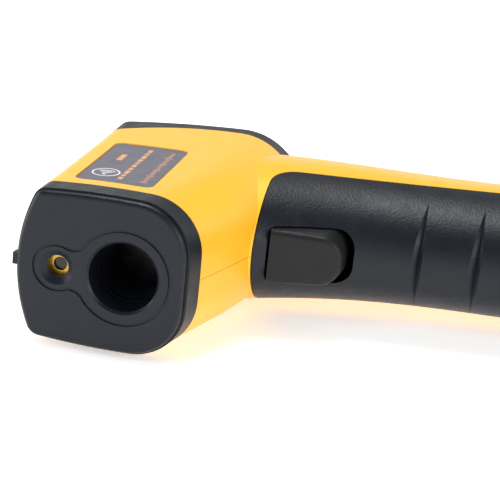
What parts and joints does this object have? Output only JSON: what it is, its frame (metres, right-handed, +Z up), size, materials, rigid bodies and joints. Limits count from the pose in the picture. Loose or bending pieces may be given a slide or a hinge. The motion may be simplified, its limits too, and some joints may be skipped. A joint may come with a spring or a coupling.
{
  "type": "infrared thermometer",
  "caption": "Pistol-grip infrared thermometer with a recessed lens, laser pointer, rear display, pull trigger and a hinged battery door that forms the grip.",
  "frame": {"origin": "centre of the sensing aperture, on the plane of the nose face", "axes": "+X runs from the top of the barrel down the handle, +Y from the nose towards the back, +Z is the thermometer's left side, so it lies on its right side with +Z up"},
  "size_m": [0.152, 0.1013, 0.0426],
  "materials": {
    "yellow_plastic": "injection moulded ABS, warm yellow, fine satin grain",
    "black_plastic": "injection moulded ABS, blue-black, fine spark texture with a soft sheen",
    "trigger_plastic": "moulded ABS, black, satin",
    "matt_black_plastic": "moulded ABS, matt black",
    "infrared_lens": "dark infrared polyethylene lens, thin and slightly waxy",
    "nickel": "nickel plated steel",
    "brass": "turned brass",
    "clear_lens": "clear moulded lens",
    "label": "printed polyester label, dark grey, no lettering",
    "steel": "zinc plated steel",
    "spring_steel": "plated spring wire",
    "clear_window": "clear acrylic window",
    "display": "liquid crystal display glass, off",
    "rubber": "layered conductive rubber",
    "light_guide": "white acrylic light guide",
    "circuit_board": "green solder mask on glass-fibre board",
    "chip": "moulded epoxy, black",
    "cell_wrap": "shrink sleeve of a dry cell, plain",
    "key_rubber": "silicone key, dark grey"
  },
  "bodies": {
    "thermometer": {"nose_cap": "black_plastic", "sensor_tube": "matt_black_plastic", "infrared_lens": "infrared_lens", "lens_retainer": "matt_black_plastic", "sensor_holder": "matt_black_plastic", "thermopile": "nickel", "sensor_board": "circuit_board", "laser_module": "brass", "laser_lens": "clear_lens", "left_housing": "yellow_plastic", "right_housing": "yellow_plastic", "side_label": "label", "housing_screws": "steel", "hinge_pin": "steel", "rear_bezel": "black_plastic", "display_window": "clear_window", "display_panel": "display", "contact_strips": "rubber", "light_guide": "light_guide", "main_board": "circuit_board", "board_screws": "steel", "controller_chip": "chip", "buzzer": "chip", "key_switches": "chip", "trigger_pin": "steel", "trigger_spring": "spring_steel", "trigger_switch": "chip", "battery_tray": "matt_black_plastic", "battery_1": "cell_wrap", "battery_2": "cell_wrap", "battery_contacts": "nickel", "battery_springs": "spring_steel"},
    "door": {"battery_door": "black_plastic"},
    "trigger": {"trigger": "trigger_plastic"},
    "backlight_key": {"backlight_key": "key_rubber"},
    "laser_key": {"laser_key": "key_rubber"}
  },
  "joints": [
    {"name": "door_hinge", "type": "hinge", "parent": "thermometer", "child": "door", "pos_m": [0.114, 0.05611, 0], "axis": [0, 0, 1], "range_deg": [0, 80]},
    {"name": "trigger_pull", "type": "hinge", "parent": "thermometer", "child": "trigger", "pos_m": [0.0302, 0.0475, 0], "axis": [0, 0, 1], "range_deg": [0, 7], "stiffness_Nm_per_rad": 0.3, "springref_deg": -8.59, "deforming": ["trigger_spring"]},
    {"name": "backlight_press", "type": "slide", "parent": "thermometer", "child": "backlight_key", "axis": [0.2164, -0.9763, 0], "range_m": [0, 0.0006], "stiffness_N_per_m": 800, "springref_m": -0.0005},
    {"name": "laser_press", "type": "slide", "parent": "thermometer", "child": "laser_key", "axis": [0.2164, -0.9763, 0], "range_m": [0, 0.0006], "stiffness_N_per_m": 800, "springref_m": -0.0005}
  ]
}
